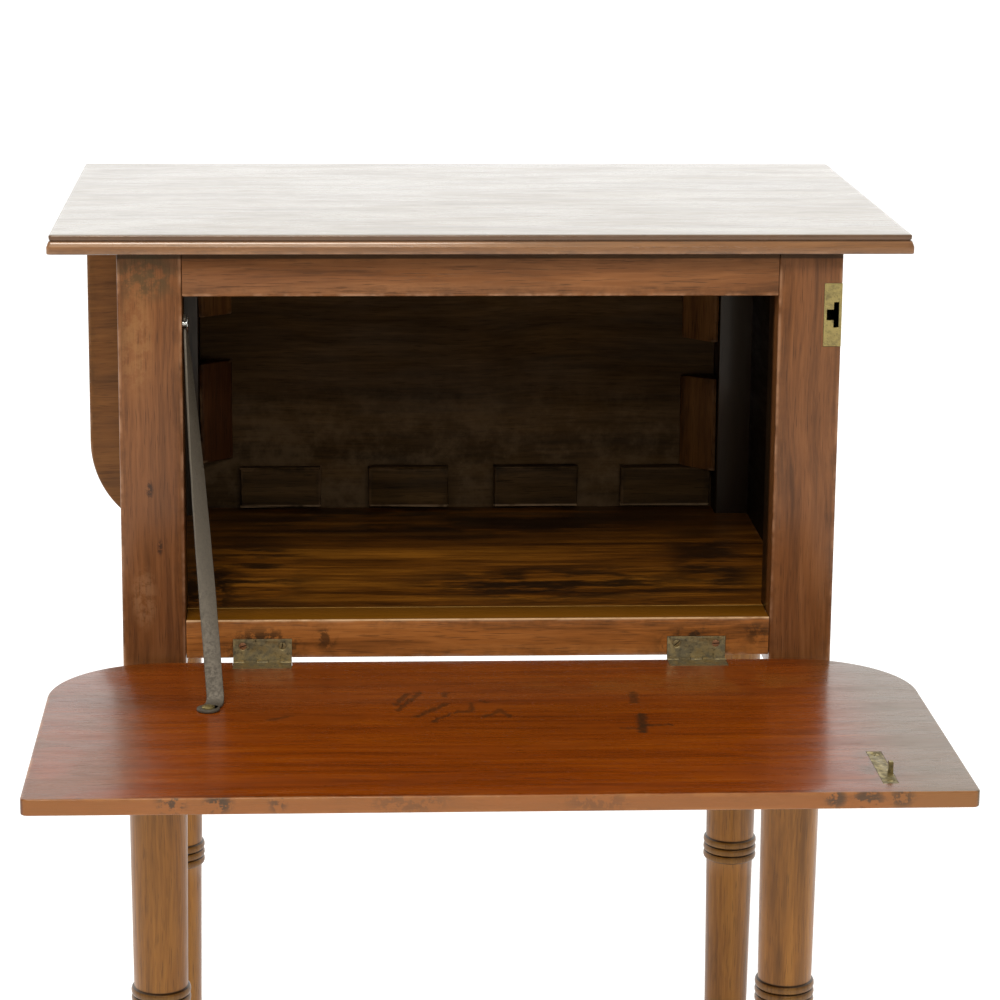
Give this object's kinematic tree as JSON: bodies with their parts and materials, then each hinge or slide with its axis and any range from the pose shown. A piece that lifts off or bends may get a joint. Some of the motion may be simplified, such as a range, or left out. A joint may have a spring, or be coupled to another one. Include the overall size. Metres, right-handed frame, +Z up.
{
  "type": "sewing table",
  "caption": "Sewing table: box compartment with fall front held by an iron stay, hanging rear leaf, lock, and turned tapering legs with ring groups.",
  "frame": {"origin": "middle of the overall box at floor level", "axes": "+X to the right seen from the front, +Y from the front to the back, +Z up"},
  "size_m": [0.619, 0.6862, 0.74],
  "materials": {
    "frame_mahogany": "satin French polish, worn",
    "top_mahogany": "polished, lightly worn",
    "flap_mahogany": "high French polish with ink marks",
    "leaf_mahogany": "satin polish",
    "back_board": "unfinished, darkened",
    "glue_block_wood": "unfinished",
    "floor_board_wood": "oiled, black stains",
    "hinge_brass": "dull, olive patina",
    "lock_brass": "aged, rubbed brass",
    "dark_iron": "dark brown iron",
    "bright_steel": "worn bright steel"
  },
  "bodies": {
    "carcass": {"back_panel": "back_board", "bottom_rail": "frame_mahogany", "corner_block_lower_left": "glue_block_wood", "corner_block_lower_right": "glue_block_wood", "corner_block_upper_left": "glue_block_wood", "corner_block_upper_right": "glue_block_wood", "flap_hinge_left_pin": "dark_iron", "flap_hinge_left_rail_plate": "hinge_brass", "flap_hinge_right_pin": "dark_iron", "flap_hinge_right_rail_plate": "hinge_brass", "floor_board": "floor_board_wood", "floor_ledger_left": "glue_block_wood", "floor_ledger_right": "glue_block_wood", "leaf_hinge_left_pin": "dark_iron", "leaf_hinge_left_top_plate": "dark_iron", "leaf_hinge_right_pin": "dark_iron", "leaf_hinge_right_top_plate": "dark_iron", "leaf_prop_pin": "dark_iron", "leg_front_left": "frame_mahogany", "leg_front_right": "frame_mahogany", "leg_rear_left": "frame_mahogany", "leg_rear_right": "frame_mahogany", "lock_case": "dark_iron", "lock_plate": "lock_brass", "prop_bracket": "dark_iron", "rail_screw_left_1": "hinge_brass", "rail_screw_left_2": "hinge_brass", "rail_screw_right_1": "hinge_brass", "rail_screw_right_2": "hinge_brass", "rear_glue_block_1": "glue_block_wood", "rear_glue_block_2": "glue_block_wood", "rear_glue_block_3": "glue_block_wood", "rear_glue_block_4": "glue_block_wood", "side_panel_left": "frame_mahogany", "side_panel_right": "frame_mahogany", "stay_peg": "bright_steel", "table_top": "top_mahogany", "top_glue_block_front_left": "glue_block_wood", "top_glue_block_front_right": "glue_block_wood", "top_glue_block_rear_left": "glue_block_wood", "top_glue_block_rear_right": "glue_block_wood", "top_rail": "frame_mahogany"},
    "flap": {"flap": "flap_mahogany", "flap_hinge_left_flap_plate": "hinge_brass", "flap_hinge_right_flap_plate": "hinge_brass", "catch_plate": "lock_brass", "catch_screw_1": "lock_brass", "catch_screw_2": "lock_brass", "stay_foot_screw": "lock_brass"},
    "flap_stay": {"flap_stay": "dark_iron"},
    "rear_leaf": {"rear_leaf": "leaf_mahogany", "leaf_hinge_left_leaf_plate": "dark_iron", "leaf_hinge_right_leaf_plate": "dark_iron"},
    "leaf_prop": {"leaf_prop": "dark_iron"},
    "lock_bolt": {"lock_bolt": "bright_steel"}
  },
  "joints": [
    {"name": "flap_hinge", "type": "hinge", "parent": "carcass", "child": "flap", "pos_m": [0, -0.0397, 0.42], "axis": [-1, 0, 0], "range_deg": [0, 90]},
    {"name": "stay_swivel", "type": "hinge", "parent": "flap", "child": "flap_stay", "pos_m": [-0.195, -0.1577, 0.422], "axis": [0, 0, -1], "range_deg": [0, 90]},
    {"name": "leaf_hinge", "type": "hinge", "parent": "carcass", "child": "rear_leaf", "pos_m": [0, 0.3307, 0.7254], "axis": [1, 0, 0], "range_deg": [0, 90]},
    {"name": "prop_swing", "type": "hinge", "parent": "carcass", "child": "leaf_prop", "pos_m": [0, 0.3245, 0.61793], "axis": [1, 0, 0], "range_deg": [0, 135]},
    {"name": "bolt_slide", "type": "slide", "parent": "carcass", "child": "lock_bolt", "axis": [0, 0, 1], "range_m": [0, 0.0026]}
  ],
  "couplings": [
    {"joint": "stay_swivel", "follows": "flap_hinge", "ratio": 1},
    {"joint": "prop_swing", "follows": "leaf_hinge", "ratio": 1.5}
  ]
}
